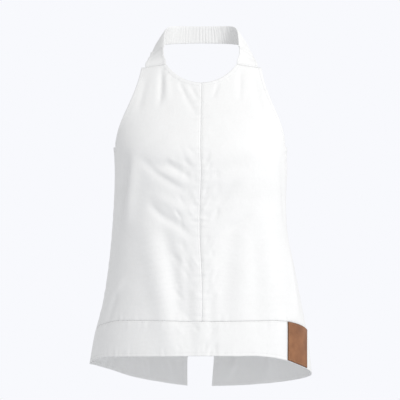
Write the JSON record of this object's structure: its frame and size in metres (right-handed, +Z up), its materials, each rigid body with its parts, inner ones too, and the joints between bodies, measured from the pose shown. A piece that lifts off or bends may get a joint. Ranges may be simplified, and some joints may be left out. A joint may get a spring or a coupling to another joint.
{
  "type": "halter neck top",
  "caption": "Halter neck top in plain white woven cotton: filled-out hollow body, gathered elastic neck strap, deep hem band, longer back with a centre vent, bare tan leather patch.",
  "frame": {"origin": "the nape: the inner face of the neck strap at the centre back, where the wearer's neck holds the top up", "axes": "+Z up as worn, the front faces -Y, +X is the wearer's left"},
  "size_m": [0.3759, 0.2712, 0.6333],
  "materials": {
    "cotton": "plain weave, matt",
    "elastic_casing": "gathered plain weave, matt",
    "leather": "smooth tan, satin"
  },
  "bodies": {
    "root": {"front_panel_right": "cotton", "front_panel_left": "cotton", "back_panel_right": "cotton", "back_panel_left": "cotton", "front_band": "cotton", "back_band_right": "cotton", "back_band_left": "cotton", "neck_elastic": "elastic_casing", "strap_tab_right": "cotton", "strap_tab_left": "cotton", "leather_patch": "leather"}
  },
  "joints": []
}
